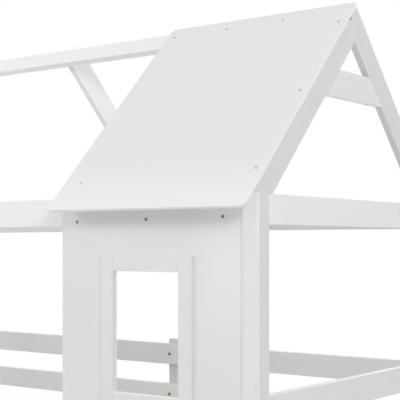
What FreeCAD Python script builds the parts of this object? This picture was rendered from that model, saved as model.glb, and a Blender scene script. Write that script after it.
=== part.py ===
# House bed of white-painted boards: a low bed in a frame shaped like a small house.
# X runs along the bed with the panelled gable end at +X, -Y is the open front, +Z is up.
# The origin is on the floor, in the middle of the box that the bed fills.
import FreeCAD
import Part
import Sketcher
import os
import re

vector = FreeCAD.Vector
doc = FreeCAD.newDocument("house_bed")
sheet = doc.addObject("Spreadsheet::Sheet", "Sizes")

# Every size that can be set by itself, in millimetres, with the pitch in degrees.
sizes = {
    "frame_length": 2100,
    "frame_width": 984,
    "post_width": 47,
    "post_top": 1017,
    "post_round": 2.5,
    "glide_height": 4,
    "glide_diameter": 32,
    "board_thickness": 20,
    "board_round": 2,
    "top_rail_height": 74,
    "guard_rail_height": 74,
    "guard_top": 539,
    "guard_gap": 70,
    "side_rail_height": 110,
    "side_rail_top": 250,
    "roof_pitch": 46,
    "rafter_width": 74,
    "heel_height": 20,
    "ridge_board_width": 70,
    "collar_drop": 159,
    "collar_height": 74,
    "pocket_from_middle": 86,
    "pocket_diameter": 9,
    "pocket_depth": 30,
    "pilot_diameter": 4.5,
    "sheet_thickness": 8,
    "sheet_round": 1.5,
    "roof_panel_width": 625,
    "roof_panel_length": 778,
    "roof_panel_drop": 11,
    "roof_panel_corner": 18,
    "panel_rafter_inset": 52,
    "middle_rafter_from_end": 1035,
    "wall_panel_width": 582,
    "wall_panel_gap": 0.5,
    "wall_panel_drop": 3,
    "wall_panel_bottom": 155,
    "window_width": 210,
    "window_height": 308,
    "window_drop": 186,
    "trim_width": 41,
    "trim_thickness": 8,
    "batten_width": 40,
    "batten_rise": 16,
    "batten_from_end": 1000,
    "batten_round": 6,
    "ledge_width": 22,
    "ledge_height": 30,
    "ledge_top": 190,
    "slat_width": 70,
    "slat_thickness": 18,
    "slat_end_gap": 2,
    "slat_end_margin": 40,
    "tape_width": 30,
    "tape_thickness": 1.5,
    "tape_inset": 130,
    "bed_bolt_diameter": 8,
    "bed_bolt_length": 90,
    "bed_bolt_head": 14,
    "bed_bolt_head_depth": 5,
    "side_bolt_height": 215,
    "end_bolt_height": 175,
    "nut_diameter": 12,
    "nut_length": 15,
    "nut_from_end": 30,
    "small_bolt_diameter": 6,
    "small_bolt_head": 11,
    "small_bolt_head_depth": 3,
    "ridge_bolt_length": 60,
    "guard_nut_depth": 4,
    "bore_clearance": 0.3,
}
slat_count = 14

for row, (name, value) in enumerate(sizes.items(), 1):
    sheet.set(f"A{row}", name)
    sheet.set(f"B{row}", str(value))
    sheet.setAlias(f"B{row}", name)
doc.recompute()

# Places that several pieces share, each worked out from the sizes above.
shared = {
    "half_length": "frame_length / 2",
    "half_width": "frame_width / 2",
    # boards sit in the middle of the post's thickness
    "recess": "(post_width - board_thickness) / 2",
    # the roof panel reaches past the posts, so the ridge lies behind the middle of the box
    "roof_reach": "roof_panel_drop + roof_panel_length",
    "eave_reach": "(roof_reach - sheet_round) * cos(roof_pitch)"
    " + (sheet_thickness - sheet_round) * sin(roof_pitch) + sheet_round",
    "ridge_y": "(eave_reach - half_width) / 2",
    "front_y": "ridge_y - half_width",
    "back_y": "ridge_y + half_width",
    "front_board_y": "front_y + recess",
    "back_board_y": "back_y - recess - board_thickness",
    # guard rails and side rail at the back are flush with the inner faces of the posts
    "guard_y": "back_y - post_width",
    "right_board_x": "half_length - recess - board_thickness",
    "left_board_x": "-half_length + recess",
    "left_post_x": "-half_length + post_width",
    "front_post_y": "front_y + post_width",
    "between_posts_x": "frame_length - 2 * post_width",
    "between_posts_y": "frame_width - 2 * post_width",
    "between_boards_x": "frame_length - 2 * (recess + board_thickness)",
    "top_rail_bottom": "post_top - top_rail_height",
    "upper_guard_bottom": "guard_top - guard_rail_height",
    "lower_guard_bottom": "upper_guard_bottom - guard_gap - guard_rail_height",
    "side_rail_bottom": "side_rail_top - side_rail_height",
    # heights of the roof, from the top of the posts
    "apex_rise": "heel_height + half_width * tan(roof_pitch)",
    "rafter_plumb": "rafter_width / cos(roof_pitch)",
    "inner_apex_rise": "apex_rise - rafter_plumb",
    "apex_z": "post_top + apex_rise",
    "rafter_toe": "half_width - (rafter_plumb - heel_height) / tan(roof_pitch)",
    "beam_heel": "half_width - recess",
    "beam_heel_rise": "heel_height + recess * tan(roof_pitch)",
    # the ridge board's upper inner edge lies in the ridge's upright plane
    "ridge_board_start": "board_thickness * tan(roof_pitch)",
    "ridge_board_end": "ridge_board_start + ridge_board_width",
    "ridge_board_middle": "ridge_board_start + ridge_board_width / 2",
    "ridge_seat_rise": "apex_rise - board_thickness / cos(roof_pitch)",
    "ridge_seat_half": "(rafter_width - board_thickness) / 2",
    "ridge_bolt_y": "ridge_y - ridge_board_middle * cos(roof_pitch)"
    " + board_thickness / 2 * sin(roof_pitch)",
    "ridge_bolt_z": "apex_z - ridge_board_middle * sin(roof_pitch)"
    " - board_thickness / 2 * cos(roof_pitch)",
    # the collar tie's underside is measured down from where the rafters meet inside
    "collar_rise": "inner_apex_rise - collar_drop",
    "collar_low": "collar_drop / tan(roof_pitch)",
    "collar_high": "collar_low - collar_height / tan(roof_pitch)",
    # the bores of its screws start below the underside and run square to the rafters
    "pocket_out": "pocket_from_middle - pocket_diameter * sin(roof_pitch)",
    "pocket_rise": "collar_rise - pocket_diameter * cos(roof_pitch)",
    "wall_left_x": "half_length - post_width - wall_panel_gap - wall_panel_width",
    "wall_top": "post_top - wall_panel_drop",
    "window_left": "(wall_panel_width - window_width) / 2",
    "window_left_x": "wall_left_x + window_left",
    "window_right_x": "window_left_x + window_width",
    "window_top": "wall_top - window_drop",
    "window_sill": "window_top - window_height",
    "trim_y": "front_board_y - sheet_thickness - trim_thickness",
    "trim_bottom": "window_sill - trim_width",
    "batten_x": "half_length - batten_from_end",
    "side_batten_bolt_z": "(side_rail_top + ledge_top + slat_thickness) / 2",
    "slat_front_y": "front_board_y + board_thickness + slat_end_gap",
    "slat_length": "guard_y - slat_end_gap - slat_front_y",
    "first_slat_x": "left_board_x + board_thickness + slat_end_margin",
    "slat_run": "between_boards_x - 2 * slat_end_margin",
    "slat_pitch": f"(slat_run - slat_width) / {slat_count - 1}",
    "bolt_bore": "bed_bolt_diameter + 2 * bore_clearance",
    "bolt_bore_depth": "bed_bolt_head_depth + bed_bolt_length - post_width + bore_clearance",
    "head_bore": "bed_bolt_head + 2 * bore_clearance",
    "nut_bore": "nut_diameter + 2 * bore_clearance",
    "nut_bore_depth": "(board_thickness + nut_length) / 2 + bore_clearance",
    "small_bore": "small_bolt_diameter + 2 * bore_clearance",
    "ridge_bore_depth": "ridge_bolt_length - board_thickness + bore_clearance",
    "guard_bolt_length": "2 * board_thickness + guard_nut_depth",
}


def formula(text):
    # Names become the shared places in brackets, down to the cells of the sheet.
    def spell(found):
        word = found.group(0)
        if word in shared:
            return "(" + formula(shared[word]) + ")"
        if word in sizes:
            return "Sizes." + word
        return word

    return re.sub(r"[a-z_]+", spell, text)


def place(item, point):
    for axis, text in zip("xyz", point):
        item.setExpression("Placement.Base." + axis, formula(text))


def outline_sketch(body, role, *outlines):
    # Closed outlines with every corner held by its two distances from the body's origin.
    sketch = body.newObject("Sketcher::SketchObject", body.Name + "_outline")
    plane = [feature for feature in body.Origin.OriginFeatures if feature.Role == role]
    sketch.AttachmentSupport = [(plane[0], "")]
    sketch.MapMode = "FlatFace"
    for outline in outlines:
        first = sketch.GeometryCount
        count = len(outline)
        rough = Part.makePolygon([vector(step, step * step, 0) for step in range(count)])
        for point in rough.Vertexes:
            sketch.addGeometry(Part.LineSegment(point.Point, point.Point + vector(1, 1, 0)), False)
        for side in range(count):
            following = first + (side + 1) % count
            sketch.addConstraint(Sketcher.Constraint("Coincident", first + side, 2, following, 1))
        for side, corner in enumerate(outline, first):
            for kind, text in zip(("DistanceX", "DistanceY"), corner):
                index = sketch.addConstraint(Sketcher.Constraint(kind, -1, 1, side, 1, 1.0))
                label = f"{kind}_{side}"
                sketch.renameConstraint(index, label)
                sketch.setExpression("Constraints." + label, formula(text))
    return sketch


def rectangle(width, height, left="0", bottom="0"):
    right = f"{left} + {width}"
    top = f"{bottom} + {height}"
    return [(left, bottom), (right, bottom), (right, top), (left, top)]


def padded(body, sketch, thickness):
    pad = body.newObject("PartDesign::Pad", body.Name + "_pad")
    pad.Profile = sketch
    pad.setExpression("Length", formula(thickness))
    doc.recompute()
    return pad


# Tests of an edge's direction: along one axis, down a back roof slope, or round a face.
runs = {
    "x": lambda way: abs(way.x) > 0.99,
    "y": lambda way: abs(way.y) > 0.99,
    "z": lambda way: abs(way.z) > 0.99,
    "slope": lambda way: way.y * way.z < -0.02,
    "face": lambda way: abs(way.y) < 0.01,
    "all": lambda way: True,
}


def eased(body, base, radius, run):
    # Rounds the edges of one run. Sawn ends that meet another board stay square.
    edges = []
    for index, edge in enumerate(base.Shape.Edges, 1):
        if runs[run](edge.tangentAt(edge.FirstParameter)):
            edges.append(f"Edge{index}")
    fillet = body.newObject("PartDesign::Fillet", f"{body.Name}_round_{run}")
    fillet.Base = (base, edges)
    fillet.setExpression("Radius", formula(radius))
    doc.recompute()
    return fillet


def board(name, size, corner, run, radius="board_round"):
    # A straight board along the axes, from its lowest corner, eased along its run.
    body = doc.addObject("PartDesign::Body", name)
    length, depth, height = size
    sketch = outline_sketch(body, "XY_Plane", rectangle(length, depth))
    eased(body, padded(body, sketch, height), radius, run)
    place(body, corner)
    return body


def gable_piece(name, corners, x, run="slope", turned=False):
    # A piece sawn from a board that stands in the plane of the gables. Its corners are
    # measured out from the ridge's upright plane and up from the top of the posts.
    body = doc.addObject("PartDesign::Body", name)
    sketch = outline_sketch(body, "YZ_Plane", corners)
    eased(body, padded(body, sketch, "board_thickness"), "board_round", run)
    if turned:
        body.Placement = FreeCAD.Placement(vector(), FreeCAD.Rotation(vector(0, 0, 1), 180))
        x = f"{x} + board_thickness"
    place(body, (x, "ridge_y", "post_top"))
    return body


def slope_piece(name, size, lower_edge, depth, right_x, run, radius, corner_radius=None):
    # A flat piece in the front roof slope: its own Y runs up the slope, its own Z out of it.
    # Its lower edge is measured from the ridge, its inner face from the rafters' outer edges.
    body = doc.addObject("PartDesign::Body", name)
    length, width, thickness = size
    solid = padded(body, outline_sketch(body, "XY_Plane", rectangle(length, width)), thickness)
    if corner_radius:
        solid = eased(body, solid, corner_radius, "z")
    eased(body, solid, radius, run)
    body.Placement = FreeCAD.Placement(vector(), FreeCAD.Rotation(vector(1, 0, 0), 45))
    body.setExpression("Placement.Rotation.Angle", formula("roof_pitch"))
    y = f"ridge_y - {lower_edge} * cos(roof_pitch) + {depth} * sin(roof_pitch)"
    z = f"apex_z - {lower_edge} * sin(roof_pitch) - {depth} * cos(roof_pitch)"
    place(body, (f"{right_x} - {length}", y, z))
    return body


# Rotations that point a rod made along Z along another axis, or square out of a roof slope.
turns = {
    "+x": FreeCAD.Rotation(vector(0, 1, 0), 90),
    "-x": FreeCAD.Rotation(vector(0, 1, 0), -90),
    "+y": FreeCAD.Rotation(vector(1, 0, 0), -90),
    "-y": FreeCAD.Rotation(vector(1, 0, 0), 90),
    "+z": FreeCAD.Rotation(),
    "front_slope": FreeCAD.Rotation(vector(1, 0, 0), 45),
    "back_slope": FreeCAD.Rotation(vector(-1, 0, 0), 45),
}
backward = {"+x": "-x", "-x": "+x", "+y": "-y", "-y": "+y"}


def moved(point, axis, distance):
    shifted = list(point)
    index = "xyz".index(axis[1])
    shifted[index] = f"{shifted[index]} {axis[0]} ({distance})"
    return shifted


def rod(name, diameter, length, start, axis):
    cylinder = doc.addObject("Part::Cylinder", name)
    cylinder.setExpression("Radius", formula(f"({diameter}) / 2"))
    cylinder.setExpression("Height", formula(length))
    cylinder.Placement = FreeCAD.Placement(vector(), turns[axis])
    if axis.endswith("slope"):
        cylinder.setExpression("Placement.Rotation.Angle", formula("roof_pitch"))
    place(cylinder, start)
    return cylinder


def group(name, items):
    compound = doc.addObject("Part::Compound", name)
    compound.Links = items
    return compound


def drilled(blank, bores):
    # The drilled piece takes over the name of its blank.
    name = blank.Label
    blank.Label = name + "_blank"
    cut = doc.addObject("Part::Cut", name + "_drilled")
    cut.Base = blank
    cut.Tool = group(name + "_bores", bores) if len(bores) > 1 else bores[0]
    cut.Label = name
    return cut


def bolt(name, shank, length, head, head_depth, seat, axis):
    fuse = doc.addObject("Part::Fuse", name)
    fuse.Base = rod(name + "_shank", shank, length, seat, axis)
    fuse.Tool = rod(name + "_head", head, head_depth, seat, backward[axis])
    fuse.Refine = True
    return fuse


pieces = []
bores = {}
bed_bolts = []
barrel_nuts = []


def bed_joint(name, post, rail, face, axis, nut_axis):
    # A sunk bolt from the post's outer face into the rail's end, drawn up by a barrel nut
    # that goes into the rail from its inner face.
    seat = moved(face, axis, "bed_bolt_head_depth")
    rail_end = moved(face, axis, "post_width")
    nut = moved(rail_end, axis, "nut_from_end")
    bores.setdefault(post, []).extend(
        [
            rod(name + "_sink", "head_bore", "bed_bolt_head_depth", face, axis),
            rod(name + "_post_hole", "bolt_bore", "post_width", face, axis),
        ]
    )
    inner_face = moved(nut, backward[nut_axis], "board_thickness / 2")
    bores.setdefault(rail, []).extend(
        [
            rod(name + "_rail_hole", "bolt_bore", "bolt_bore_depth", rail_end, axis),
            rod(name + "_nut_hole", "nut_bore", "nut_bore_depth", inner_face, nut_axis),
        ]
    )
    bed_bolts.append(
        bolt(
            name + "_bolt",
            "bed_bolt_diameter",
            "bed_bolt_length",
            "bed_bolt_head",
            "bed_bolt_head_depth",
            seat,
            axis,
        )
    )
    nut_start = moved(nut, backward[nut_axis], "nut_length / 2")
    blank = rod(name + "_nut", "nut_diameter", "nut_length", nut_start, nut_axis)
    thread_start = moved(nut, backward[axis], "nut_diameter")
    thread = rod(name + "_thread", "bolt_bore", "2 * nut_diameter", thread_start, axis)
    barrel_nuts.append(drilled(blank, [thread]))


# Posts at the four corners, each on a glide, with the bolts of the rails that meet in it.
glides = []
posts = {
    "post_front_right": ("half_length", "front_y", "-x", "+y"),
    "post_front_left": ("-half_length", "front_y", "+x", "+y"),
    "post_back_right": ("half_length", "back_y", "-x", "-y"),
    "post_back_left": ("-half_length", "back_y", "+x", "-y"),
}
for name, (outer_x, outer_y, inward_x, inward_y) in posts.items():
    corner = [outer_x, outer_y, "glide_height"]
    if inward_x == "-x":
        corner = moved(corner, "-x", "post_width")
    if inward_y == "-y":
        corner = moved(corner, "-y", "post_width")
    blank = board(
        name, ("post_width", "post_width", "post_top - glide_height"), corner, "z", "post_round"
    )
    middle = moved(moved(corner, "+x", "post_width / 2"), "+y", "post_width / 2")
    glides.append(
        rod(name + "_glide", "glide_diameter", "glide_height", middle[:2] + ["0"], "+z")
    )
    end, side = name.split("_")[2], name.split("_")[1]
    side_y = "front_board_y" if side == "front" else "guard_y"
    side_face = (outer_x, side_y + " + board_thickness / 2", "side_bolt_height")
    bed_joint(name + "_side", name, "side_rail_" + side, side_face, inward_x, backward[inward_y])
    end_x = f"{end}_board_x + board_thickness / 2"
    end_face = (end_x, outer_y, "end_bolt_height")
    bed_joint(name + "_end", name, "base_rail_" + end, end_face, inward_y, backward[inward_x])
    pieces.append(drilled(blank, bores[name]))

# Long rails between the posts: eave beams, side rails and the two guard rails at the back.
long_rails = {
    "eave_beam_front": ("front_board_y", "top_rail_bottom", "top_rail_height"),
    "eave_beam_back": ("back_board_y", "top_rail_bottom", "top_rail_height"),
    "side_rail_front": ("front_board_y", "side_rail_bottom", "side_rail_height"),
    "side_rail_back": ("guard_y", "side_rail_bottom", "side_rail_height"),
    "guard_rail_back_upper": ("guard_y", "upper_guard_bottom", "guard_rail_height"),
    "guard_rail_back_lower": ("guard_y", "lower_guard_bottom", "guard_rail_height"),
}
guard_bolts = []
guard_nuts = []
batten_bores = []
for name, (y, bottom, height) in long_rails.items():
    blank = board(
        name, ("between_posts_x", "board_thickness", height), ("left_post_x", y, bottom), "x"
    )
    if y == "guard_y":
        # one bolt through the rail and the batten behind it
        bolt_z = "side_batten_bolt_z" if name == "side_rail_back" else f"{bottom} + {height} / 2"
        face = ("batten_x", "guard_y", bolt_z)
        bores.setdefault(name, []).append(
            rod(name + "_bolt_hole", "small_bore", "board_thickness", face, "+y")
        )
        batten_face = moved(face, "+y", "board_thickness")
        batten_bores.append(
            rod(name + "_batten_hole", "small_bore", "board_thickness", batten_face, "+y")
        )
        guard_bolts.append(
            bolt(
                name + "_bolt",
                "small_bolt_diameter",
                "guard_bolt_length",
                "small_bolt_head",
                "small_bolt_head_depth",
                face,
                "+y",
            )
        )
        nut_face = moved(batten_face, "+y", "board_thickness")
        nut = rod(name + "_nut", "small_bolt_head", "guard_nut_depth", nut_face, "+y")
        thread = rod(name + "_thread", "small_bore", "guard_nut_depth", nut_face, "+y")
        guard_nuts.append(drilled(nut, [thread]))
    pieces.append(drilled(blank, bores[name]) if name in bores else blank)

# Short rails across both ends.
short_rails = {
    "top_rail": ("top_rail_bottom", "top_rail_height"),
    "guard_rail_upper": ("upper_guard_bottom", "guard_rail_height"),
    "guard_rail_lower": ("lower_guard_bottom", "guard_rail_height"),
    "base_rail": ("side_rail_bottom", "side_rail_height"),
}
for kind, (bottom, height) in short_rails.items():
    for end in ("right", "left"):
        name = f"{kind}_{end}"
        blank = board(
            name,
            ("board_thickness", "between_posts_y", height),
            (f"{end}_board_x", "front_post_y", bottom),
            "y",
        )
        pieces.append(drilled(blank, bores[name]) if name in bores else blank)

# The batten ties the guard rails and the side rail together behind the bed.
batten = board(
    "guard_batten",
    ("batten_width", "board_thickness", "guard_top + batten_rise - side_rail_bottom"),
    ("batten_x - batten_width / 2", "guard_y + board_thickness", "side_rail_bottom"),
    "all",
    "batten_round",
)
pieces.append(drilled(batten, batten_bores))

# Gables: two rafters that meet in a plumb cut at the ridge and stand on the posts.
gable_rafter = [
    ("0", "apex_rise"),
    ("0", "inner_apex_rise"),
    ("rafter_toe", "0"),
    ("half_width", "0"),
    ("half_width", "heel_height"),
]
collar = [
    ("-collar_low", "collar_rise"),
    ("collar_low", "collar_rise"),
    ("collar_high", "collar_rise + collar_height"),
    ("-collar_high", "collar_rise + collar_height"),
]


def pocket_bores(name, x):
    # From the underside of a collar tie: a pocket for a screw's head, then a pilot bore that
    # comes out square to the rafter.
    cuts = []
    middle_x = f"{x} + board_thickness / 2"
    depth = "pocket_diameter + pocket_depth"
    reach = "pocket_diameter + collar_low - pocket_from_middle"
    for side, sign in (("front", "-"), ("back", "+")):
        start = (middle_x, f"ridge_y {sign} pocket_out", "post_top + pocket_rise")
        axis = side + "_slope"
        cuts.append(rod(f"{name}_{side}_pocket", "pocket_diameter", depth, start, axis))
        cuts.append(rod(f"{name}_{side}_pilot", "pilot_diameter", reach, start, axis))
    return cuts


ridge_bolts = []
ridge_bores = []
for end, outer_x, axis in (
    ("right", "right_board_x + board_thickness", "-x"),
    ("left", "left_board_x", "+x"),
):
    x = end + "_board_x"
    front = gable_piece("rafter_front_" + end, gable_rafter, x, turned=True)
    seat = (outer_x, "ridge_bolt_y", "ridge_bolt_z")
    hole = rod(f"ridge_{end}_rafter_hole", "small_bore", "board_thickness", seat, axis)
    ridge_end = moved(seat, axis, "board_thickness")
    ridge_bores.append(
        rod(f"ridge_{end}_hole", "small_bore", "ridge_bore_depth", ridge_end, axis)
    )
    ridge_bolts.append(
        bolt(
            f"ridge_{end}_bolt",
            "small_bolt_diameter",
            "ridge_bolt_length",
            "small_bolt_head",
            "small_bolt_head_depth",
            seat,
            axis,
        )
    )
    pieces.append(drilled(front, [hole]))
    pieces.append(gable_piece("rafter_back_" + end, gable_rafter, x))
    tie = "collar_tie_" + end
    pieces.append(drilled(gable_piece(tie, collar, x, "y"), pocket_bores(tie, x)))

# The ridge board lies flat under the top of the roof panel, between the two gables.
ridge_board = slope_piece(
    "ridge_board",
    ("between_boards_x", "ridge_board_width", "board_thickness"),
    "ridge_board_end",
    "board_thickness",
    "right_board_x",
    "x",
    "board_round",
)
pieces.append(drilled(ridge_board, ridge_bores))

# Middle of the back slope: notched under the ridge board, standing on the back eave beam.
middle_rafter = [
    ("0", "apex_rise"),
    ("0", "ridge_seat_rise"),
    ("-ridge_seat_half / sin(roof_pitch)", "ridge_seat_rise - ridge_seat_half / cos(roof_pitch)"),
    ("rafter_toe", "0"),
    ("beam_heel", "0"),
    ("beam_heel", "beam_heel_rise"),
]
middle_rafter_x = "half_length - middle_rafter_from_end - board_thickness / 2"
pieces.append(gable_piece("rafter_back_middle", middle_rafter, middle_rafter_x))

# Under the roof panel's left part: from the ridge board's lower edge to the front eave beam.
panel_rafter = [
    ("ridge_board_end * cos(roof_pitch)", "apex_rise - ridge_board_end * sin(roof_pitch)"),
    (
        "ridge_board_end * cos(roof_pitch) - rafter_width * sin(roof_pitch)",
        "apex_rise - ridge_board_end * sin(roof_pitch) - rafter_width * cos(roof_pitch)",
    ),
    ("rafter_toe", "0"),
    ("beam_heel", "0"),
    ("beam_heel", "beam_heel_rise"),
]
panel_rafter_x = "half_length - roof_panel_width + panel_rafter_inset"
pieces.append(gable_piece("rafter_front_panel", panel_rafter, panel_rafter_x, turned=True))

# The roof panel lies on the rafters and the ridge board and reaches over the eave.
pieces.append(
    slope_piece(
        "roof_panel",
        ("roof_panel_width", "roof_panel_length", "sheet_thickness"),
        "roof_reach",
        "0",
        "half_length",
        "all",
        "sheet_round",
        "roof_panel_corner",
    )
)

# The wall panel lies on the front faces of the eave beam and the side rail.
wall_panel = doc.addObject("PartDesign::Body", "wall_panel")
wall_outline = outline_sketch(
    wall_panel,
    "XZ_Plane",
    rectangle("wall_panel_width", "wall_top - wall_panel_bottom"),
    rectangle("window_width", "window_height", "window_left", "window_sill - wall_panel_bottom"),
)
eased(wall_panel, padded(wall_panel, wall_outline, "sheet_thickness"), "sheet_round", "face")
place(wall_panel, ("wall_left_x", "front_board_y", "wall_panel_bottom"))
pieces.append(wall_panel)

# Window trims on the face of the wall panel, the upright ones over the full height.
upright_trim = ("trim_width", "trim_thickness", "window_height + 2 * trim_width")
level_trim = ("window_width", "trim_thickness", "trim_width")
trims = {
    "window_trim_left": (upright_trim, "window_left_x - trim_width", "trim_bottom"),
    "window_trim_right": (upright_trim, "window_right_x", "trim_bottom"),
    "window_trim_top": (level_trim, "window_left_x", "window_top"),
    "window_trim_bottom": (level_trim, "window_left_x", "trim_bottom"),
}
for name, (size, x, z) in trims.items():
    pieces.append(board(name, size, (x, "trim_y", z), "face", "sheet_round"))

# Bed base: ledges on the side rails, slats across them and two tapes under the slats.
ledges = {
    "slat_ledge_front": "front_board_y + board_thickness",
    "slat_ledge_back": "guard_y - ledge_width",
}
for name, y in ledges.items():
    pieces.append(
        board(
            name,
            ("between_posts_x", "ledge_width", "ledge_height"),
            ("left_post_x", y, "ledge_top - ledge_height"),
            "x",
        )
    )
for index in range(slat_count):
    pieces.append(
        board(
            f"slat_{index + 1:02d}",
            ("slat_width", "slat_length", "slat_thickness"),
            (f"first_slat_x + {index} * slat_pitch", "slat_front_y", "ledge_top"),
            "y",
        )
    )
tapes = {
    "slat_tape_front": "slat_front_y + tape_inset",
    "slat_tape_back": "slat_front_y + slat_length - tape_inset - tape_width",
}
for name, y in tapes.items():
    tape = doc.addObject("Part::Box", name)
    tape.setExpression("Length", formula("slat_run"))
    tape.setExpression("Width", formula("tape_width"))
    tape.setExpression("Height", formula("tape_thickness"))
    place(tape, ("first_slat_x", y, "ledge_top - tape_thickness"))
    pieces.append(tape)

pieces.append(group("floor_glides", glides))
pieces.append(group("bed_bolts", bed_bolts))
pieces.append(group("barrel_nuts", barrel_nuts))
pieces.append(group("ridge_bolts", ridge_bolts))
pieces.append(group("guard_bolts", guard_bolts))
pieces.append(group("guard_nuts", guard_nuts))

doc.recompute()
for item in doc.Objects:
    if "Invalid" in item.State or "Error" in item.State:
        raise RuntimeError(f"{item.Label} did not compute: {item.State}")
for piece in pieces:
    if piece.Shape.isNull() or not piece.Shape.isValid() or not piece.Shape.Solids:
        raise RuntimeError(f"{piece.Label} has no valid solid")

os.makedirs("parts", exist_ok=True)
for piece in pieces:
    piece.Shape.exportStep(f"parts/{piece.Label}.step")
    box = piece.Shape.BoundBox
    print(
        f"{piece.Label:24s} solids {len(piece.Shape.Solids):2d} volume {piece.Shape.Volume:12.1f}"
        f" x {box.XMin:8.1f} {box.XMax:8.1f} y {box.YMin:8.1f} {box.YMax:8.1f}"
        f" z {box.ZMin:8.1f} {box.ZMax:8.1f}"
    )
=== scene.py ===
# House bed of white-painted boards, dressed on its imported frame, in a plain white studio.
import math

import bpy
import numpy as np
from mathutils import Matrix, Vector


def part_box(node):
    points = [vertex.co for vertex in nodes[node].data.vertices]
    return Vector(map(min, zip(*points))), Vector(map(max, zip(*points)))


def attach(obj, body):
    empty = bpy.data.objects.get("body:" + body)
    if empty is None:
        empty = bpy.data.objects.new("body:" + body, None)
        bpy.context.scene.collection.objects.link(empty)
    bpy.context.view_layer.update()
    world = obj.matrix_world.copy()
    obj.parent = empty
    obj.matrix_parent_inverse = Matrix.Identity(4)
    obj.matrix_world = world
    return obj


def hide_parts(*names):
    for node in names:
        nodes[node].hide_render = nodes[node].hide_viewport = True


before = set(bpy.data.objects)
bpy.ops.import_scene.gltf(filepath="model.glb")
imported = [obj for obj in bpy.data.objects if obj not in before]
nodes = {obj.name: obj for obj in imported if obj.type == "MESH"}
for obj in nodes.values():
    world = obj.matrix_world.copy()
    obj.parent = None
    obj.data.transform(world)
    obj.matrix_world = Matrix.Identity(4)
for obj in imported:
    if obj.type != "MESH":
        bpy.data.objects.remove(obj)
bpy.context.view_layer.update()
print("frame loaded:", len(nodes), "nodes")


class Wire:
    # One output of a shader node. An operator between wires or numbers adds a Math node.
    def __init__(self, graph, socket):
        self.graph = graph
        self.socket = socket

    def also(self, name):  # another output of the same node
        return Wire(self.graph, self.socket.node.outputs[name])

    def __add__(self, other):
        return self.graph.math("ADD", self, other)

    def __sub__(self, other):
        return self.graph.math("SUBTRACT", self, other)

    def __rsub__(self, other):
        return self.graph.math("SUBTRACT", other, self)

    def __mul__(self, other):
        return self.graph.math("MULTIPLY", self, other)

    def __abs__(self):
        return self.graph.math("ABSOLUTE", self)

    __radd__ = __add__
    __rmul__ = __mul__


class Graph:
    # The node tree of a material or the world, emptied. Its node method adds any kind of node.
    def __init__(self, owner):
        owner.use_nodes = True
        self.tree = owner.node_tree
        self.tree.nodes.clear()

    def node(self, kind, settings=None, sockets=None, out=0):
        made = self.tree.nodes.new(kind)
        for name, value in (settings or {}).items():
            setattr(made, name, value)
        for name, value in (sockets or {}).items():
            if isinstance(value, Wire):
                self.tree.links.new(value.socket, made.inputs[name])
            else:
                made.inputs[name].default_value = value
        return Wire(self, made.outputs[out]) if made.outputs else None

    def math(self, operation, *values):
        return self.node("ShaderNodeMath", {"operation": operation}, dict(enumerate(values)))

    def noise(self, vector, pattern):
        return self.node("ShaderNodeTexNoise", None, {"Vector": vector, **pattern})

    def ease(self, value, start, end):  # smooth step from 0 at start to 1 at end
        sockets = {"Value": value, "From Min": start, "From Max": end}
        return self.node("ShaderNodeMapRange", {"interpolation_type": "SMOOTHSTEP"}, sockets)

    def stretch(self, vector, factors):
        sockets = {0: vector, 1: factors}
        return self.node("ShaderNodeVectorMath", {"operation": "MULTIPLY"}, sockets)

    def split(self, vector):
        return self.node("ShaderNodeSeparateXYZ", None, {"Vector": vector})

    def place(self):
        return self.node("ShaderNodeTexCoord", None, None, "Object")

    def blend(self, factor, first, second):
        start = (*first, 1.0) if isinstance(first, tuple) else first
        return self.node("ShaderNodeMix", {"data_type": "RGBA"}, {0: factor, 6: start, 7: (*second, 1.0)}, 2)

    def tone(self, factor, color, amount):  # the color times the amount, where the factor is 1
        settings = {"data_type": "RGBA", "blend_type": "MULTIPLY"}
        return self.node("ShaderNodeMix", settings, {0: factor, 6: color, 7: amount}, 2)

    def bump(self, height, distance, strength, below=None):
        sockets = {"Height": height, "Distance": distance, "Strength": strength}
        if below:
            sockets["Normal"] = below
        return self.node("ShaderNodeBump", None, sockets)

    def surface(self, **sockets):
        names = {name.replace("_", " "): value for name, value in sockets.items()}
        shader = self.node("ShaderNodeBsdfPrincipled", None, names)
        self.node("ShaderNodeOutputMaterial", None, {"Surface": shader})


# How a board's own axes lie: the first runs along the grain, the second across the board.
pitch = math.radians(46.0)
quarter = math.pi / 2
lie = {
    "x": Matrix.Identity(3),
    "y": Matrix.Rotation(quarter, 3, "Z"),
    "z": Matrix.Rotation(-quarter, 3, "Y"),
    "frontSlope": Matrix.Rotation(pitch, 3, "X") @ Matrix.Rotation(quarter, 3, "Z"),
    "backSlope": Matrix.Rotation(-pitch, 3, "X") @ Matrix.Rotation(quarter, 3, "Z"),
    "ridge": Matrix.Rotation(pitch, 3, "X"),
    "wall": Matrix.Rotation(quarter, 3, "X"),
}


def boardFrame(name, way):
    # The board's box in its own axes: corners turned back by the lie, then half the spread.
    mesh = nodes[name].data
    corners = np.empty(len(mesh.vertices) * 3, np.float32)
    mesh.vertices.foreach_get("co", corners)
    turn = np.array(lie[way])
    own = corners.reshape(-1, 3) @ turn
    low, high = own.min(0), own.max(0)
    return turn @ ((low + high) / 2), (high - low) / 2


def ownAxes(graph, name, way):
    # Object coordinates seen from the board's middle, along its own axes.
    centre, half = boardFrame(name, way)
    turn = tuple(lie[way].to_euler("XYZ"))
    sockets = {"Vector": graph.place(), "Location": tuple(centre.tolist()), "Rotation": turn}
    own = graph.node("ShaderNodeMapping", {"vector_type": "TEXTURE"}, sockets)
    return own, half.tolist()


def newMaterial(name):
    material = bpy.data.materials.new(name)
    return material, Graph(material)


def dress(name, material):
    mesh = nodes[name].data
    mesh.materials.clear()
    mesh.materials.append(material)


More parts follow.
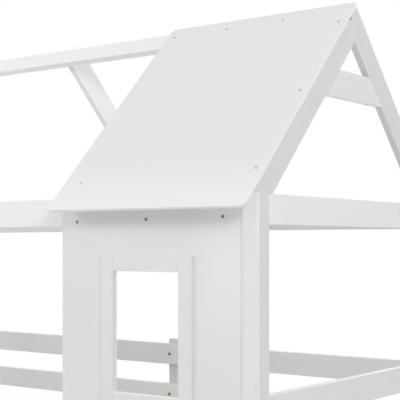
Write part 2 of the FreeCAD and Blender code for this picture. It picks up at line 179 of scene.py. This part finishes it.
# In the looks, a range is where a smooth step starts and ends, and a bump is depth and strength.
boardPaint = {
    "white": (0.862, 0.862, 0.862),
    "shade": (0.832, 0.832, 0.832),
    # The edge tone is a painted highlight along the boards' arrises.
    "edge": (0.886, 0.886, 0.886),
    "sideShade": (0.723, 0.723, 0.723),  # the outer and inner sides of the posts, painted darker as shade
    "grainStretch": (2.6, 95.0, 95.0),  # repeats per metre along, across and through the board
    "grainNoise": {"Scale": 1.0, "Detail": 4.0, "Roughness": 0.6},
    "cloudNoise": {"Scale": 3.5, "Detail": 2.0},
    "peelNoise": {"Scale": 640.0, "Detail": 1.0},  # the fine ripple of sprayed paint
    "cloudShare": 0.6,  # what is left of the mottle is grain
    "shadeRange": (0.38, 0.64),
    "edgeReach": 0.005,
    "edgeShare": 0.7,
    "faceReach": 0.0015,
    "roughness": 0.4,
    "grainRoughness": 0.1,
    "edgeGloss": 0.06,
    "grainBump": (0.00012, 0.5),
    "peelBump": (0.00007, 0.5),
}


def paintedBoard(name, way, tone):
    # White satin paint over planed softwood: the grain shows only as faint ridges.
    look = boardPaint
    white, shade, edgeHighlight = (
        tuple(tone * part for part in look[key]) for key in ("white", "shade", "edge")
    )
    material, graph = newMaterial("white_board_" + name)
    own, half = ownAxes(graph, name, way)
    parts = graph.split(own)
    fromSide = half[1] - abs(parts.also("Y"))
    fromFace = half[2] - abs(parts.also("Z"))
    edge = graph.ease(fromSide, look["edgeReach"], 0.0) * graph.ease(fromFace, look["edgeReach"], 0.0)
    grain = graph.noise(graph.stretch(own, look["grainStretch"]), look["grainNoise"])
    cloud = graph.noise(own, look["cloudNoise"])
    peel = graph.noise(own, look["peelNoise"])
    mottle = cloud * look["cloudShare"] + grain * (1.0 - look["cloudShare"])
    tint = graph.blend(graph.ease(mottle, *look["shadeRange"]), white, shade)
    # Painted shade: the posts' outer and inner sides are darker.
    if name.startswith("post_"):
        tint = graph.blend(graph.ease(fromFace, look["faceReach"], 0.0), tint, look["sideShade"])
    # Painted highlight: a lighter tone along the arrises.
    tint = graph.blend(edge * look["edgeShare"], tint, edgeHighlight)
    # Painted light and shade on single faces, from the table of faces below.
    if entry(faceLightAndShade, name):
        axis, startTone, endTone, along = entry(faceLightAndShade, name)
        onFace = graph.ease(parts.also(axis) + half["XYZ".index(axis)], look["faceReach"], 0.0)
        passed = graph.ease(parts.also("X"), *along)
        tint = graph.tone(onFace, tint, startTone + passed * (endTone - startTone))
    ridges = graph.bump(grain, *look["grainBump"])
    graph.surface(
        Base_Color=tint,
        Roughness=look["roughness"] + grain * look["grainRoughness"] - edge * look["edgeGloss"],
        Normal=graph.bump(peel, *look["peelBump"], ridges),
    )
    dress(name, material)


panelPaint = {
    "white": (0.83, 0.83, 0.83),
    "shade": (0.816, 0.816, 0.816),
    "sheetRims": ((0.86, 0.86, 0.86), (0.88, 0.88, 0.88)),  # upright edges, then level edges
    # The trims' upright sides are painted darker as shade, their level edges lighter as a painted highlight.
    "trimRimLightAndShade": ((0.76, 0.76, 0.76), (0.92, 0.92, 0.92)),
    "rimWidth": 0.0018,
    "eaveHighlight": (0.892, 0.892, 0.892),  # painted light: the roof lighter along its lower edge
    "eaveReach": 0.2,
    "cornerShade": (0.79, 0.79, 0.79),  # painted shade in the corner where the wall meets the post
    "cornerRange": (0.0075, 0.0045),
    "wallLightTone": (1.055, 1.055, 1.055, 1.0),  # painted light: the wall lighter at its upper right
    "wallLightAcross": (0.12, 0.24),
    "wallLightUp": (0.06, 0.19),
    "cloudNoise": {"Scale": 2.2, "Detail": 2.0},
    "peelNoise": {"Scale": 520.0, "Detail": 1.0},
    "shadeRange": (0.35, 0.65),
    "roughness": 0.37,
    "peelRoughness": 0.08,
    "rimRoughness": 0.08,
    "waveBump": (0.0004, 0.4),
    "peelBump": (0.00006, 0.5),
}


def paintedPanel(name, way):
    # White satin paint over thin fibre board: no grain, a faint slow wave, the rim in its own tone.
    look = panelPaint
    material, graph = newMaterial("white_panel_" + name)
    own, half = ownAxes(graph, name, way)
    parts = graph.split(own)
    cloud = graph.noise(own, look["cloudNoise"])
    peel = graph.noise(own, look["peelNoise"])
    sides = graph.ease(half[0] - abs(parts.also("X")), look["rimWidth"], 0.0)
    ends = graph.ease(half[1] - abs(parts.also("Y")), look["rimWidth"], 0.0)
    rim = graph.math("MAXIMUM", sides, ends)
    tint = graph.blend(graph.ease(cloud, *look["shadeRange"]), look["white"], look["shade"])
    if name == "wall_panel":
        # Painted shade in the corner where the wall meets the post.
        corner = graph.ease(half[0] - parts.also("X"), *look["cornerRange"])
        tint = graph.blend(corner, tint, look["cornerShade"])
        # Painted light: the wall lighter at its upper right.
        across = graph.ease(parts.also("X"), *look["wallLightAcross"])
        wallLight = across * graph.ease(parts.also("Y"), *look["wallLightUp"])
        tint = graph.tone(wallLight, tint, look["wallLightTone"])
    # Painted light: the roof lighter towards its lower edge.
    if name == "roof_panel":
        lower = graph.ease(parts.also("Y") + half[1], look["eaveReach"], 0.0)
        tint = graph.blend(lower, tint, look["eaveHighlight"])
    # On the trims the rims are painted shade on the upright sides and painted highlight on the level edges.
    upright, level = look["trimRimLightAndShade" if name.startswith("window_trim") else "sheetRims"]
    wave = graph.bump(cloud, *look["waveBump"])
    graph.surface(
        Base_Color=graph.blend(ends, graph.blend(sides, tint, upright), level),
        Roughness=look["roughness"] + peel * look["peelRoughness"] + rim * look["rimRoughness"],
        Normal=graph.bump(peel, *look["peelBump"], wave),
    )
    dress(name, material)


slatPine = {
    "early": (0.72, 0.675, 0.6),
    "late": (0.58, 0.515, 0.43),
    "fibre": (0.65, 0.59, 0.505),
    "heart": ((-4.0, 4.0), (-0.05, 0.05), (0.02, 0.05)),  # bounds along, across and through
    "wanderStretch": (1.4, 5.0, 5.0),
    "wanderNoise": {"Scale": 1.0, "Detail": 2.0},
    "sway": 0.06,
    "ringsPerMetre": 190.0,
    "ringWander": 2.0,
    "lateRange": (0.35, 0.92),
    "lateShare": 0.75,
    "fibreStretch": (7.0, 420.0, 420.0),
    "fibreNoise": {"Scale": 1.0, "Detail": 3.0, "Roughness": 0.6},
    "fibreRange": (0.45, 0.75),
    "fibreShare": 0.5,
    "roughness": 0.58,
    "woodRoughness": 0.1,
    "fibreRelief": 0.6,  # what is left of the relief is late wood
    "reliefBump": (0.00025, 0.5),
    "seed": 11,
}


def pineSlat(name, draw):
    # Bare planed pine: rings round a heart line that lies below the slat and wanders along it.
    look = slatPine
    material, graph = newMaterial("bare_pine_" + name)
    own = ownAxes(graph, name, "y")[0]
    heart = tuple(draw.uniform(*bounds) for bounds in look["heart"])
    placed = graph.node("ShaderNodeVectorMath", {"operation": "ADD"}, {0: own, 1: heart})
    wander = graph.noise(graph.stretch(placed, look["wanderStretch"]), look["wanderNoise"])
    parts = graph.split(placed)
    side = parts.also("Y") + wander * look["sway"] - look["sway"] / 2
    depth = parts.also("Z")
    radius = graph.math("SQRT", side * side + depth * depth)
    ring = graph.math("FRACT", radius * look["ringsPerMetre"] + wander * look["ringWander"])
    late = graph.ease(ring, *look["lateRange"])
    fibre = graph.noise(graph.stretch(placed, look["fibreStretch"]), look["fibreNoise"])
    wood = graph.blend(late * look["lateShare"], look["early"], look["late"])
    streaks = graph.ease(fibre, *look["fibreRange"]) * look["fibreShare"]
    relief = fibre * look["fibreRelief"] + late * (1.0 - look["fibreRelief"])
    graph.surface(
        Base_Color=graph.blend(streaks, wood, look["fibre"]),
        Roughness=look["roughness"] + late * look["woodRoughness"] - fibre * look["woodRoughness"],
        Normal=graph.bump(relief, *look["reliefBump"]),
    )
    dress(name, material)


webbing = {
    "thread": (0.72, 0.69, 0.61),
    # The hollows of the weave are painted darker as shade between the threads.
    "hollowShade": (0.42, 0.39, 0.33),
    "weftPitch": 0.0022,
    "warpPitch": 0.0018,
    "fuzzNoise": {"Scale": 900.0, "Detail": 2.0},
    "weaveShare": 0.5,
    "fuzzShare": 0.6,
    "raisedRange": (0.0, 0.6),
    "roughness": 0.82,
    "fuzzRoughness": 0.1,
    "weaveBump": (0.0003, 0.7),
}


def wovenTape(name):
    # Plain weave: the product of two sine waves raises warp and weft in turn.
    look = webbing
    material, graph = newMaterial("woven_tape_" + name)
    own = ownAxes(graph, name, "x")[0]
    parts = graph.split(own)
    weft = graph.math("SINE", parts.also("X") * (math.tau / look["weftPitch"]))
    warp = graph.math("SINE", parts.also("Y") * (math.tau / look["warpPitch"]))
    fuzz = graph.noise(own, look["fuzzNoise"])
    raised = graph.ease(weft * warp * look["weaveShare"] + fuzz * look["fuzzShare"], *look["raisedRange"])
    graph.surface(
        # Painted shade: the low parts of the weave are darker.
        Base_Color=graph.blend(raised, look["hollowShade"], look["thread"]),
        Roughness=look["roughness"] + fuzz * look["fuzzRoughness"],
        Normal=graph.bump(raised, *look["weaveBump"]),
    )
    dress(name, material)


glidePlastic = {
    "grey": (0.6, 0.6, 0.59),
    "speck": (0.5, 0.5, 0.49),
    "speckNoise": {"Scale": 420.0, "Detail": 2.0},
    "speckRange": (0.4, 0.65),
    "roughness": 0.45,
    "speckRoughness": 0.15,
    "speckBump": (0.0001, 0.4),
}


def mouldedGlide(name):
    look = glidePlastic
    material, graph = newMaterial("moulded_" + name)
    speck = graph.noise(graph.place(), look["speckNoise"])
    graph.surface(
        Base_Color=graph.blend(graph.ease(speck, *look["speckRange"]), look["grey"], look["speck"]),
        Roughness=look["roughness"] + speck * look["speckRoughness"],
        Normal=graph.bump(speck, *look["speckBump"]),
    )
    dress(name, material)


darkSteel = {"bright": (0.3, 0.3, 0.305), "dull": (0.2, 0.2, 0.205)}
# A lighter copy of the same steel for the roof's screw heads, as a painted reflection of the bright surround
# above them; the wall's heads take the dark steel.
roofLitSteel = {"bright": (0.6, 0.6, 0.605), "dull": (0.48, 0.48, 0.485)}
steelFinish = {
    "mottleNoise": {"Scale": 260.0, "Detail": 3.0},
    "mottleRange": (0.35, 0.65),
    "markStretch": (1.0, 1.0, 5.0),
    "markNoise": {"Scale": 900.0, "Detail": 2.0},
    "roughness": 0.34,
    "mottleRoughness": 0.16,
    "markBump": (0.00005, 0.4),
}


def platedSteel(name, tones):
    # Plated steel: a metal with a mottled tone and fine tool marks.
    look = steelFinish
    material, graph = newMaterial("plated_steel_" + name)
    spot = graph.place()
    mottle = graph.noise(spot, look["mottleNoise"])
    marks = graph.noise(graph.stretch(spot, look["markStretch"]), look["markNoise"])
    graph.surface(
        Base_Color=graph.blend(graph.ease(mottle, *look["mottleRange"]), tones["bright"], tones["dull"]),
        Metallic=1.0,
        Roughness=look["roughness"] + mottle * look["mottleRoughness"],
        Normal=graph.bump(marks, *look["markBump"]),
    )
    return material


# By the start of a board's name, first match first: the way it runs and the tone of its paint
# against the plain white. The tones are painted light and shade: boards are set lighter or darker
# for the light each gets, such as the batten darker in its shade behind the rails.
boards = {
    "post_": ("z", 1.0),
    "eave_beam_front": ("x", 1.08),
    "eave_beam_back": ("x", 1.0),
    "side_rail_": ("x", 1.0),
    "guard_rail_back_upper": ("x", 0.965),
    "guard_rail_back_lower": ("x", 1.01),
    "guard_batten": ("z", 0.8),
    "top_rail_": ("y", 1.01),
    "guard_rail_upper_": ("y", 0.91),
    "guard_rail_lower_": ("y", 1.0),
    "base_rail_": ("y", 1.0),
    "rafter_front_panel": ("frontSlope", 1.0),
    "rafter_front_": ("frontSlope", 0.855),
    "rafter_back_middle": ("backSlope", 1.1),
    "rafter_back_": ("backSlope", 0.845),
    "collar_tie_": ("y", 0.94),
    "ridge_board": ("ridge", 1.08),
    "slat_ledge_": ("x", 1.0),
}
# Faces in a tone of their own, as painted light and shade: the back boards' inner faces darker
# behind the panels, the top of the front post's face and the collar ties' undersides lighter.
# Columns: the axis whose low side they lie on, the tones at the start and the end of the board, and
# the range along the board in which one turns into the other.
faceLightAndShade = {
    "eave_beam_back": ("Y", 0.89, 0.76, (-0.55, -0.2)),
    "guard_rail_back_upper": ("Y", 1.06, 0.947, (-0.55, -0.2)),
    "guard_rail_back_lower": ("Y", 1.055, 0.99, (-0.55, -0.2)),
    "post_front_right": ("Y", 1.0, 1.11, (0.39, 0.45)),
    "collar_tie_": ("Z", 1.16, 1.16, (-0.1, 0.1)),
}
panelRuns = {"roof_panel": "ridge", "wall_panel": "wall", "window_trim_": "wall"}


def entry(table, name):
    # The value of the first key that the name starts with, or nothing.
    return next((value for start, value in table.items() if name.startswith(start)), None)


pineDraw = np.random.default_rng(slatPine["seed"])
for name in sorted(nodes):
    board = entry(boards, name)
    panelRun = entry(panelRuns, name)
    if board:
        paintedBoard(name, *board)
    elif panelRun:
        paintedPanel(name, panelRun)
    elif name.startswith("slat_tape_"):
        wovenTape(name)
    elif name.startswith("slat_"):
        pineSlat(name, pineDraw)
    elif name == "floor_glides":
        mouldedGlide(name)
    else:
        dress(name, platedSteel(name, darkSteel))
print("finishes given to", len(nodes), "nodes")


def axisTurn(axis):
    # A rotation that brings the third axis onto the given direction, by two cross products.
    third = np.array(axis, float) / np.linalg.norm(axis)
    helper = np.array((1.0, 0.0, 0.0)) if abs(third[0]) < 0.9 else np.array((0.0, 1.0, 0.0))
    first = np.cross(helper, third)
    first /= np.linalg.norm(first)
    return np.stack((first, np.cross(third, first), third), 1)


def roundShell(radius, height, ring):
    # A closed shell round the third axis: row i at angle a lies at radius[i, a] and height[i, a].
    # The first and the last row are single points on the axis, or meet each other in a ring.
    rows, sides = radius.shape
    angle = np.linspace(0.0, math.tau, sides, endpoint=False)
    rings = np.stack((radius * np.cos(angle), radius * np.sin(angle), height), -1)
    here = np.arange(sides)
    following = np.roll(here, -1)
    if ring:
        shell = rings.reshape(-1, 3)
        step = np.arange(rows)[:, None] * sides
        above = np.roll(step, -1, 0)
        fans = np.empty((0, 3), int)
    else:
        shell = np.concatenate((rings[0, :1], rings[1:-1].reshape(-1, 3), rings[-1, :1]))
        step = 1 + np.arange(rows - 3)[:, None] * sides
        above = step + sides
        last = 1 + (rows - 3) * sides
        firstFan = np.stack((here * 0, following + 1, here + 1), -1)
        lastFan = np.stack((here + last, following + last, here * 0 + len(shell) - 1), -1)
        fans = np.concatenate((firstFan, lastFan))
    quads = np.stack((here + step, following + step, following + above, here + above), -1)
    return shell, quads.reshape(-1, 4), fans


creaseAngle = math.radians(38)


def makeHeads(name, grid, places, material, ring=False):
    # Copies of one shell, each with its axis turned to a seat's direction and moved to that seat.
    shell, quads, fans = roundShell(*grid, ring)
    spots = np.array([seat for seat, axis in places])
    turns = np.array([axisTurn(axis) for seat, axis in places])
    points = np.einsum("kij,vj->kvi", turns, shell) + spots[:, None, :]
    offset = np.arange(len(places))[:, None, None] * len(shell)
    faces = (quads + offset).reshape(-1, 4).tolist() + (fans + offset).reshape(-1, 3).tolist()
    mesh = bpy.data.meshes.new(name)
    mesh.from_pydata(points.reshape(-1, 3).tolist(), [], faces)
    mesh.shade_smooth()
    mesh.set_sharp_from_angle(angle=creaseAngle)
    mesh.materials.append(material)
    piece = bpy.data.objects.new(name, mesh)
    bpy.context.scene.collection.objects.link(piece)
    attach(piece, "root")
    return piece


turnedSides = 48


def turned(profile):
    # A turned form from (radius, height, flats) rows: flats blends the round into a hexagon.
    rows = np.array(profile)
    angle = np.linspace(0.0, math.tau, turnedSides, endpoint=False)
    sector = math.tau / 6
    hexagon = math.cos(sector / 2) / np.cos((angle % sector) - sector / 2)
    radius = rows[:, :1] * (1.0 + rows[:, 2:3] * (hexagon[None, :] - 1.0))
    return radius, np.repeat(rows[:, 1:2], turnedSides, 1)


# Shares of the shank, the head's depth and the socket that ease a bolt's edges.
boltShape = {"tip": 0.2, "rim": 0.22, "rimCut": 0.3, "pit": 0.6, "mouth": 0.08, "cone": 0.3}


def socketBolt(shank, length, head, depth, socket):
    # Turned rows from the shank's end up to a head with an eased rim and a hexagon socket in it.
    tip = shank * boltShape["tip"]
    rim = depth * boltShape["rim"]
    rimCut = rim * boltShape["rimCut"]
    mouth = socket * boltShape["mouth"]
    pitZ = depth - depth * boltShape["pit"]
    return [
        (0.0, -length, 0.0),
        (shank - tip, -length, 0.0),
        (shank, tip - length, 0.0),
        (shank, 0.0, 0.0),
        (head, 0.0, 0.0),
        (head, depth - rim, 0.0),
        (head - rimCut, depth - rimCut, 0.0),
        (head - rim, depth, 0.0),
        (socket + mouth, depth, 1.0),
        (socket, depth - mouth, 1.0),
        (socket, pitZ, 1.0),
        (0.0, pitZ - socket * boltShape["cone"], 1.0),
    ]


def middle(name):
    low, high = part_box(name)
    return (low + high) / 2


# Seats are pairs: where a head's underside lies and which way the head looks.
steel = platedSteel("heads", darkSteel)
roofLit = platedSteel("roof_heads", roofLitSteel)
bothEnds = (-1.0, 1.0)
front, back = (0.0, -1.0, 0.0), (0.0, 1.0, 0.0)
socketHeads = {
    "bed_bolts": {"shank": 0.004, "length": 0.09, "head": 0.007, "depth": 0.005, "socket": 0.0035},
    "ridge_bolts": {"shank": 0.003, "length": 0.06, "head": 0.0055, "depth": 0.003, "socket": 0.0024},
    "guard_bolts": {"shank": 0.003, "length": 0.044, "head": 0.0055, "depth": 0.003, "socket": 0.0024},
}
bedBoltHeights = {"side": 0.215, "end": 0.175}


def bedBoltSeats():
    # Sunk in the posts: in line with the side rails at the ends, and with the end rails at the sides.
    sunk = socketHeads["bed_bolts"]["depth"]
    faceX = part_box("post_front_right")[1].x - sunk
    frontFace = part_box("post_front_right")[0].y + sunk
    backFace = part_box("post_back_right")[1].y - sunk
    found = []
    for end in bothEnds:
        for rail in ("side_rail_front", "side_rail_back"):
            found.append(((end * faceX, middle(rail).y, bedBoltHeights["side"]), (end, 0.0, 0.0)))
        x = end * middle("base_rail_right").x
        found.append(((x, frontFace, bedBoltHeights["end"]), front))
        found.append(((x, backFace, bedBoltHeights["end"]), back))
    return found


ridgeSpot = middle("ridge_bolts")
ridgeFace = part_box("ridge_bolts")[1].x - socketHeads["ridge_bolts"]["depth"]
guardLow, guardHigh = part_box("guard_bolts")
guardHead = socketHeads["guard_bolts"]
guardX = middle("guard_bolts").x
guardHeights = [
    guardLow.z + guardHead["head"],
    middle("guard_rail_back_lower").z,
    guardHigh.z - guardHead["head"],
]
seats = {
    "bed_bolts": bedBoltSeats(),
    "ridge_bolts": [
        ((end * ridgeFace, ridgeSpot.y, ridgeSpot.z), (end, 0.0, 0.0)) for end in bothEnds
    ],
    "guard_bolts": [((guardX, guardLow.y + guardHead["depth"], z), front) for z in guardHeights],
}
for name, look in socketHeads.items():
    piece = makeHeads(name + "_socket", turned(socketBolt(**look)), seats[name], steel)
    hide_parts(name)
print("socket bolts made")

panelScrew = {
    "headRadius": 0.0043,
    "headHeight": 0.0018,
    "rimDrop": 0.9,
    "sunk": 0.0004,
    "armLength": 0.0023,
    "armWidth": 0.0011,
    "recessDepth": 0.0011,
    "rows": 18,
    "sides": 48,
}


def panHeads(name, places, material):
    # A low dome whose height drops inside a cross of two bars: height = dome - depth * cross.
    # The dome is the root of 1 minus a share of the fourth power of the distance from the axis.
    look = panelScrew
    share = np.linspace(1.0, 0.0, look["rows"])[:, None]
    angle = np.linspace(0.0, math.tau, look["sides"], endpoint=False)[None, :]
    radius = look["headRadius"] * share * np.ones_like(angle)
    x, y = np.abs(radius * np.cos(angle)), np.abs(radius * np.sin(angle))
    halfBar = look["armWidth"] / 2
    cross = ((x < halfBar) & (y < look["armLength"])) | ((y < halfBar) & (x < look["armLength"]))
    dome = look["headHeight"] * np.sqrt(1.0 - look["rimDrop"] * share**4)
    foot = np.full_like(angle, -look["sunk"])
    radius = np.concatenate((np.zeros_like(foot), np.full_like(foot, look["headRadius"]), radius))
    height = np.concatenate((foot, foot, dome - look["recessDepth"] * cross))
    makeHeads(name, (radius, height), places, material)


# Places of the panels' screws: along the bed, then down the slope from the apex on the roof, or
# up from the floor on the wall.
panelScrewPlaces = {
    "roofEdges": [(1.0265, 0.095), (1.0265, 0.378), (1.0265, 0.662), (0.487, 0.69)],
    "roofTop": [(0.454, 0.055), (0.643, 0.052), (0.832, 0.046)],
    "wallTop": [(0.475, 0.9545), (0.7095, 0.9585), (0.945, 0.962)],
    "wallFoot": [(0.475, 0.197), (0.7095, 0.197), (0.945, 0.197)],
}
rafterLow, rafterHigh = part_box("rafter_back_right")
apexY = (rafterLow.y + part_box("rafter_front_right")[1].y) / 2
outward = np.array((0.0, -math.sin(pitch), math.cos(pitch)))
downhill = np.array((0.0, -math.cos(pitch), -math.sin(pitch)))
roofThickness = 2 * boardFrame("roof_panel", "ridge")[1][2]
apex = np.array((0.0, apexY, rafterHigh.z)) + outward * roofThickness
roofSeats = [
    (apex + downhill * down + np.array((x, 0.0, 0.0)), outward)
    for x, down in panelScrewPlaces["roofEdges"] + panelScrewPlaces["roofTop"]
]
# The roof's heads take the lighter steel as a painted reflection of the bright surround.
panHeads("roof_panel_screws", roofSeats, roofLit)
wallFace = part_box("wall_panel")[0].y
wallPlaces = panelScrewPlaces["wallTop"] + panelScrewPlaces["wallFoot"]
panHeads("wall_panel_screws", [((x, wallFace, z), front) for x, z in wallPlaces], steel)

# Hexagon nuts behind the batten: the corners are cut back to the round at both faces.
hexNut = {"corner": 0.0055, "bore": 0.0031, "cut": 0.0006, "boreCut": 0.0003}
nutLow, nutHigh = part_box("guard_nuts")
nutDepth = nutHigh.y - nutLow.y
nutRows = [
    (hexNut["bore"], 0.0, 0.0),
    (hexNut["corner"] - hexNut["cut"], 0.0, 0.0),
    (hexNut["corner"], hexNut["cut"], 1.0),
    (hexNut["corner"], nutDepth - hexNut["cut"], 1.0),
    (hexNut["corner"] - hexNut["cut"], nutDepth, 0.0),
    (hexNut["bore"] + hexNut["boreCut"], nutDepth, 0.0),
    (hexNut["bore"], nutDepth - hexNut["boreCut"], 0.0),
]
nutSeats = [((guardX, nutLow.y, z), back) for z in guardHeights]
piece = makeHeads("guard_nuts_hexagon", turned(nutRows), nutSeats, steel, ring=True)
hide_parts("guard_nuts")

# Screws down in the pockets of the collar ties, square to the rafters.
collarScrews = {"fromMiddle": 0.086, "pocketDepth": 0.03}
collarSeats = []
for name in ("collar_tie_right", "collar_tie_left"):
    for side in (-1.0, 1.0):
        inward = np.array((0.0, side * math.sin(pitch), math.cos(pitch)))
        mouthY = apexY + side * collarScrews["fromMiddle"]
        mouth = np.array((middle(name).x, mouthY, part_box(name)[0].z))
        collarSeats.append((mouth + inward * collarScrews["pocketDepth"], -inward))
panHeads("collar_tie_screws", collarSeats, steel)

# Screws that hold the slat ledges on the side rails.
ledgeScrews = {"count": 7, "reach": 0.9}
ledgeRow = np.linspace(-ledgeScrews["reach"], ledgeScrews["reach"], ledgeScrews["count"]).tolist()
ledgeFaces = {
    "slat_ledge_front": (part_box("slat_ledge_front")[1].y, back),
    "slat_ledge_back": (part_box("slat_ledge_back")[0].y, front),
}
ledgeSeats = []
for name, (face, way) in ledgeFaces.items():
    ledgeSeats += [((x, face, middle(name).z), way) for x in ledgeRow]
panHeads("slat_ledge_screws", ledgeSeats, steel)
print("nuts and screws made")

# Plain white studio: a pale floor that keeps shadows, a white surround and large soft lamps.
studio = {
    "floorReach": 20.0,
    "floorBounce": (0.82, 0.82, 0.82, 1.0),
    "floorSeen": (0.5, 0.5, 0.5, 1.0),
    "floorGlow": 0.52,
    "whiteRange": (1.6, 3.1),  # the floor fades into the white surround between these distances
    "white": (1.0, 1.0, 1.0, 1.0),
    "ambient": 0.51,
    "lamps": [  # name, place, aim, width, power
        ("right", (3.723, -2.737, 2.386), (0.7, -0.2, 0.95), 1.0, 43.0),
        ("left", (-1.4, -2.0, 2.0), (0.0, 0.0, 1.0), 1.0, 16.0),
        ("high_front", (1.39, -2.99, 4.13), (0.3, 0.0, 0.95), 2.0, 13.0),
        ("top", (1.6, -0.8, 4.4), (0.9, -0.2, 1.2), 1.2, 5.0),
        ("high_back", (2.74, 2.05, 4.13), (0.3, 0.0, 0.95), 2.0, 36.0),
        ("low_back", (0.3, 4.4, 1.89), (0.3, 0.0, 0.95), 2.0, 60.0),
    ],
}


def seenRays(graph):
    # 1 for rays from the camera, straight or by a mirror or glass, 0 for rays that only light.
    path = graph.node("ShaderNodeLightPath", None, None, "Is Camera Ray")
    total = path + path.also("Is Glossy Ray") + path.also("Is Transmission Ray")
    return graph.math("MINIMUM", total, 1.0)


def makeFloor():
    # A flat square of four corners on the ground.
    mesh = bpy.data.meshes.new("floor")
    corners = np.array(((-1, -1, 0), (1, -1, 0), (1, 1, 0), (-1, 1, 0))) * studio["floorReach"]
    mesh.from_pydata(corners.tolist(), [], [(0, 1, 2, 3)])
    floor = bpy.data.objects.new("floor", mesh)
    bpy.context.scene.collection.objects.link(floor)
    material, graph = newMaterial("studio_floor")
    away = graph.node("ShaderNodeVectorMath", {"operation": "LENGTH"}, {0: graph.place()}, "Value")
    far = graph.ease(away, *studio["whiteRange"])
    bounce = graph.node("ShaderNodeBsdfDiffuse", None, {"Color": studio["floorBounce"]})
    shaded = graph.node("ShaderNodeBsdfDiffuse", None, {"Color": studio["floorSeen"]})
    glow = graph.node("ShaderNodeEmission", None, {"Strength": studio["floorGlow"]})
    white = graph.node("ShaderNodeEmission", None, {"Strength": 1.0})
    near = graph.node("ShaderNodeAddShader", None, {0: shaded, 1: glow})
    pale = graph.node("ShaderNodeMixShader", None, {0: far, 1: near, 2: white})
    shader = graph.node("ShaderNodeMixShader", None, {0: seenRays(graph), 1: bounce, 2: pale})
    graph.node("ShaderNodeOutputMaterial", None, {"Surface": shader})
    mesh.materials.append(material)


def makeWorld():
    world = bpy.data.worlds.new("white_surround")
    bpy.context.scene.world = world
    graph = Graph(world)
    strength = studio["ambient"] + seenRays(graph) * (1.0 - studio["ambient"])
    shine = graph.node("ShaderNodeBackground", None, {"Color": studio["white"], "Strength": strength})
    graph.node("ShaderNodeOutputWorld", None, {"Surface": shine})


def makeLamp(name, spot, aim, width, power):
    data = bpy.data.lights.new(name, "AREA")
    data.shape = "DISK"
    data.size = width
    data.energy = power
    lamp = bpy.data.objects.new(name, data)
    lamp.location = spot
    lamp.rotation_euler = Matrix(axisTurn(np.array(spot) - np.array(aim)).tolist()).to_euler()
    bpy.context.scene.collection.objects.link(lamp)


# The camera stands level and frames the upper part of the panelled end by its lens shift.
view = {
    "spot": (2.3821, -2.4818, 0.8984),
    "yaw": 36.70,
    "lens": 94.39,
    "sensor": 36.0,
    "shift": (0.0049, 0.1086),
    "reach": 100.0,
}


def makeCamera():
    data = bpy.data.cameras.new("camera")
    data.lens = view["lens"]
    data.sensor_width = view["sensor"]
    data.shift_x, data.shift_y = view["shift"]
    data.clip_end = view["reach"]
    camera = bpy.data.objects.new("camera", data)
    camera.location = view["spot"]
    camera.rotation_euler = (quarter, 0.0, math.radians(view["yaw"]))
    bpy.context.scene.collection.objects.link(camera)
    bpy.context.scene.camera = camera


makeFloor()
makeWorld()
for lamp in studio["lamps"]:
    makeLamp(*lamp)
makeCamera()
bpy.context.scene.view_settings.view_transform = "Standard"
print("studio set")
